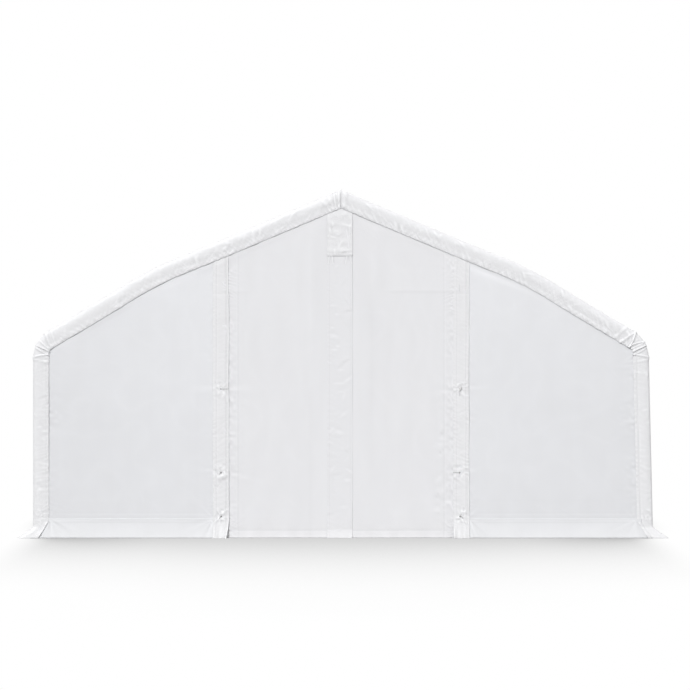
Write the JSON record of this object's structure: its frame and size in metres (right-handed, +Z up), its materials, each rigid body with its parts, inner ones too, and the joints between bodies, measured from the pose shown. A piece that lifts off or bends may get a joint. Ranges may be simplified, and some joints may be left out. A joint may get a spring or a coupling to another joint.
{
  "type": "marquee tent",
  "caption": "Closed storage marquee of coated cloth over a steel tube frame, with a zipped door in each gable and skirts on the ground.",
  "frame": {"origin": "middle of the plan, on the ground", "axes": "+Z up, +X to the right seen from the front, +Y from the front gable to the back gable"},
  "size_m": [8.4, 12.3172, 4.5199],
  "materials": {
    "coated_cloth": "white coated polyester cloth, satin, slightly creased",
    "galvanised_steel": "hot-dip galvanised tube, dull"
  },
  "bodies": {
    "root": {"arch_1": "galvanised_steel", "arch_2": "galvanised_steel", "arch_3": "galvanised_steel", "arch_4": "galvanised_steel", "arch_5": "galvanised_steel", "arch_6": "galvanised_steel", "arch_7": "galvanised_steel", "ridge_purlin": "galvanised_steel", "knee_purlin_left": "galvanised_steel", "knee_purlin_right": "galvanised_steel", "eave_purlin_left": "galvanised_steel", "eave_purlin_right": "galvanised_steel", "ground_rail_left": "galvanised_steel", "ground_rail_right": "galvanised_steel", "front_door_header": "galvanised_steel", "front_gable_post_left": "galvanised_steel", "front_gable_post_right": "galvanised_steel", "back_door_header": "galvanised_steel", "back_gable_post_left": "galvanised_steel", "back_gable_post_right": "galvanised_steel", "roof_cover_left": "coated_cloth", "roof_cover_right": "coated_cloth", "side_wall_left": "coated_cloth", "side_wall_right": "coated_cloth", "front_door_left": "coated_cloth", "front_door_right": "coated_cloth", "front_panel_left": "coated_cloth", "front_panel_right": "coated_cloth", "front_skirt_left": "coated_cloth", "front_skirt_right": "coated_cloth", "front_zip_cover_centre": "coated_cloth", "front_zip_cover_left": "coated_cloth", "front_zip_cover_right": "coated_cloth", "front_zip_hood": "coated_cloth", "back_door_left": "coated_cloth", "back_door_right": "coated_cloth", "back_panel_left": "coated_cloth", "back_panel_right": "coated_cloth", "back_skirt_left": "coated_cloth", "back_skirt_right": "coated_cloth", "back_zip_cover_centre": "coated_cloth", "back_zip_cover_left": "coated_cloth", "back_zip_cover_right": "coated_cloth", "back_zip_hood": "coated_cloth"}
  },
  "joints": []
}
